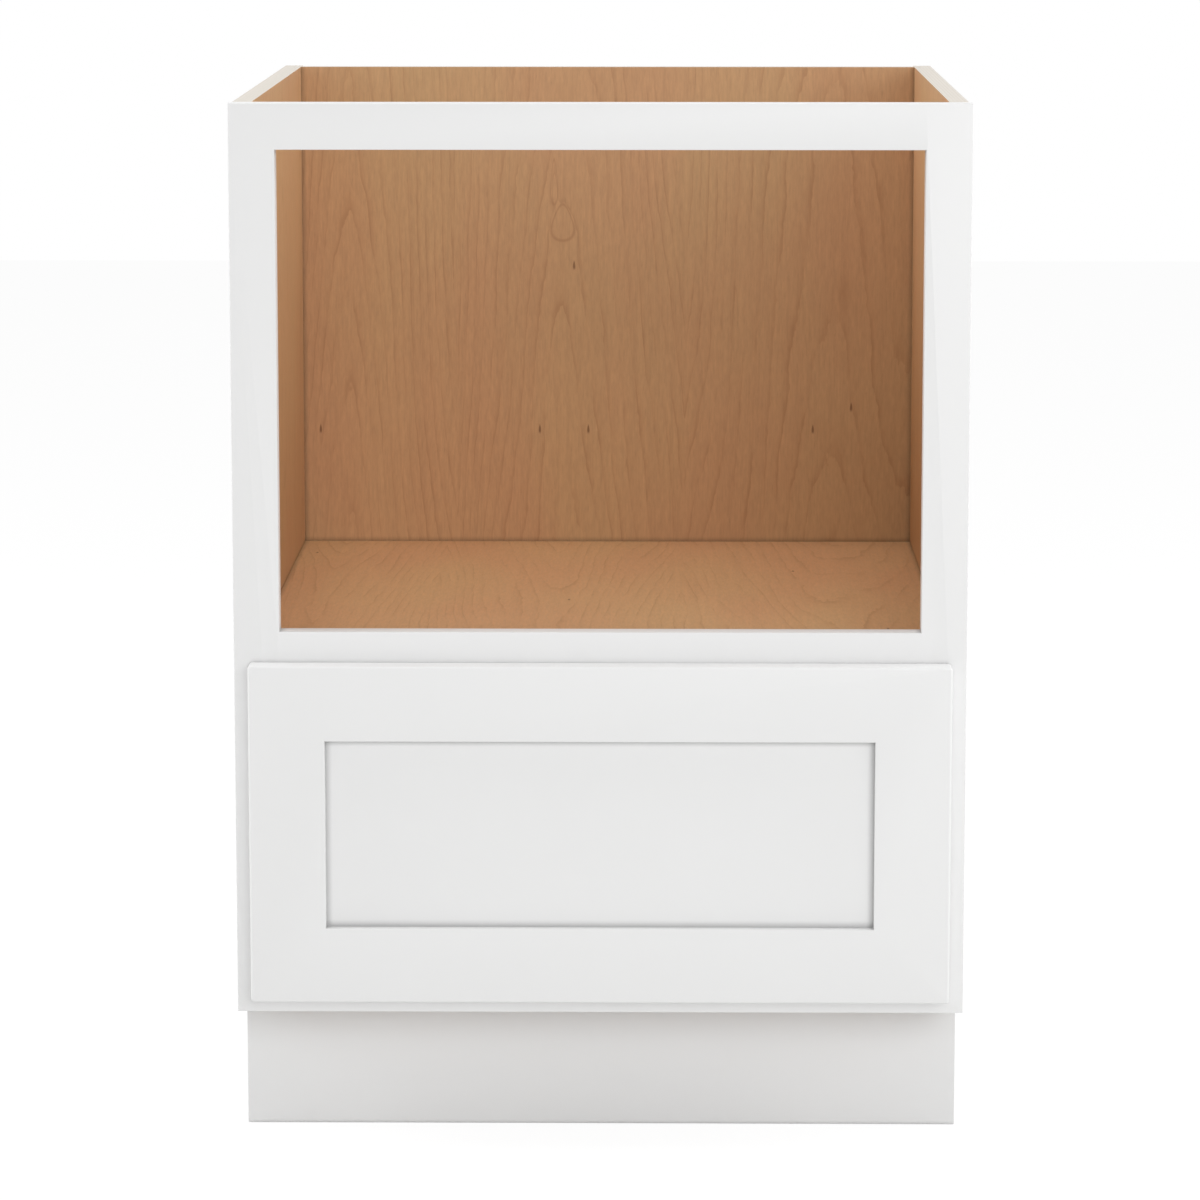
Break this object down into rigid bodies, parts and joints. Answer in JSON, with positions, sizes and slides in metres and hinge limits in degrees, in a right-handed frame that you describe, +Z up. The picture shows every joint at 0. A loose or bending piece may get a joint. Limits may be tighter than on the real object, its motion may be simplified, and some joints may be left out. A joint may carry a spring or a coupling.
{
  "type": "microwave base cabinet",
  "caption": "Kitchen base cabinet: an open bay for a microwave oven above a deep full-extension drawer, in a painted face frame with a recessed toe kick.",
  "frame": {"origin": "on the floor, at the middle of the overall width and of the overall depth, drawer front included, with the drawer closed", "axes": "+Z up, -Y out of the front, +X to the right of someone facing the front"},
  "size_m": [0.6096, 0.6302, 0.8763],
  "materials": {
    "white_paint": "satin white lacquer on solid wood",
    "maple_plywood": "clear satin lacquer on maple-veneered plywood; the cabinet sides are painted white outside",
    "solid_maple": "clear satin lacquer on solid maple",
    "zinc_steel": "zinc-plated pressed steel",
    "screw_steel": "zinc-plated",
    "ball_steel": "polished",
    "grey_plastic": "fine moulded texture",
    "lever_plastic": "fine moulded texture",
    "clear_rubber": "clear soft bumper"
  },
  "bodies": {
    "cabinet": {"left_stile": "white_paint", "right_stile": "white_paint", "top_rail": "white_paint", "middle_rail": "white_paint", "bottom_rail": "white_paint", "toe_board": "white_paint", "left_side_panel": "maple_plywood", "right_side_panel": "maple_plywood", "bottom_panel": "maple_plywood", "microwave_deck": "maple_plywood", "back_panel": "maple_plywood", "upper_hanging_rail": "solid_maple", "lower_hanging_rail": "solid_maple", "left_corner_block": "solid_maple", "right_corner_block": "solid_maple", "left_cabinet_runner": "zinc_steel", "right_cabinet_runner": "zinc_steel", "frame_pocket_screws": "screw_steel", "back_panel_screws": "screw_steel", "runner_screws": "screw_steel", "bracket_screws": "screw_steel", "left_rear_bracket": "grey_plastic", "right_rear_bracket": "grey_plastic", "left_damper": "grey_plastic", "right_damper": "grey_plastic"},
    "drawer": {"drawer_front_top_rail": "white_paint", "drawer_front_bottom_rail": "white_paint", "drawer_front_left_stile": "white_paint", "drawer_front_right_stile": "white_paint", "drawer_front_panel": "white_paint", "drawer_box_left_side": "solid_maple", "drawer_box_right_side": "solid_maple", "drawer_box_front": "solid_maple", "drawer_box_back": "solid_maple", "drawer_box_bottom": "maple_plywood", "left_drawer_runner": "zinc_steel", "right_drawer_runner": "zinc_steel", "left_lock_body": "grey_plastic", "right_lock_body": "grey_plastic", "lock_screws": "screw_steel", "drawer_front_screws": "screw_steel", "drawer_bumpers": "clear_rubber"},
    "left_middle_member": {"left_middle_runner": "zinc_steel"},
    "left_lower_ball_row": {"left_lower_cage": "grey_plastic", "left_lower_balls": "ball_steel"},
    "left_upper_ball_row": {"left_upper_cage": "grey_plastic", "left_upper_balls": "ball_steel"},
    "left_lever": {"left_release_lever": "lever_plastic"},
    "right_middle_member": {"right_middle_runner": "zinc_steel"},
    "right_lower_ball_row": {"right_lower_cage": "grey_plastic", "right_lower_balls": "ball_steel"},
    "right_upper_ball_row": {"right_upper_cage": "grey_plastic", "right_upper_balls": "ball_steel"},
    "right_lever": {"right_release_lever": "lever_plastic"}
  },
  "joints": [
    {"name": "drawer_slide", "type": "slide", "parent": "cabinet", "child": "drawer", "axis": [0, -1, 0], "range_m": [0, 0.52]},
    {"name": "left_middle_member_slide", "type": "slide", "parent": "cabinet", "child": "left_middle_member", "axis": [0, -1, 0], "range_m": [0, 0.26]},
    {"name": "left_lower_ball_slide", "type": "slide", "parent": "cabinet", "child": "left_lower_ball_row", "axis": [0, -1, 0], "range_m": [0, 0.13]},
    {"name": "left_upper_ball_slide", "type": "slide", "parent": "cabinet", "child": "left_upper_ball_row", "axis": [0, -1, 0], "range_m": [0, 0.39]},
    {"name": "left_lever_turn", "type": "hinge", "parent": "drawer", "child": "left_lever", "pos_m": [-0.2093, -0.26817, 0.1743], "axis": [0, 0, -1], "range_deg": [0, 8], "stiffness_Nm_per_rad": 0.4},
    {"name": "right_middle_member_slide", "type": "slide", "parent": "cabinet", "child": "right_middle_member", "axis": [0, -1, 0], "range_m": [0, 0.26]},
    {"name": "right_lower_ball_slide", "type": "slide", "parent": "cabinet", "child": "right_lower_ball_row", "axis": [0, -1, 0], "range_m": [0, 0.13]},
    {"name": "right_upper_ball_slide", "type": "slide", "parent": "cabinet", "child": "right_upper_ball_row", "axis": [0, -1, 0], "range_m": [0, 0.39]},
    {"name": "right_lever_turn", "type": "hinge", "parent": "drawer", "child": "right_lever", "pos_m": [0.2093, -0.26817, 0.1743], "axis": [0, 0, 1], "range_deg": [0, 8], "stiffness_Nm_per_rad": 0.4}
  ],
  "couplings": [
    {"joint": "left_middle_member_slide", "follows": "drawer_slide", "ratio": 0.5},
    {"joint": "left_lower_ball_slide", "follows": "drawer_slide", "ratio": 0.25},
    {"joint": "left_upper_ball_slide", "follows": "drawer_slide", "ratio": 0.75},
    {"joint": "right_middle_member_slide", "follows": "drawer_slide", "ratio": 0.5},
    {"joint": "right_lower_ball_slide", "follows": "drawer_slide", "ratio": 0.25},
    {"joint": "right_upper_ball_slide", "follows": "drawer_slide", "ratio": 0.75}
  ]
}
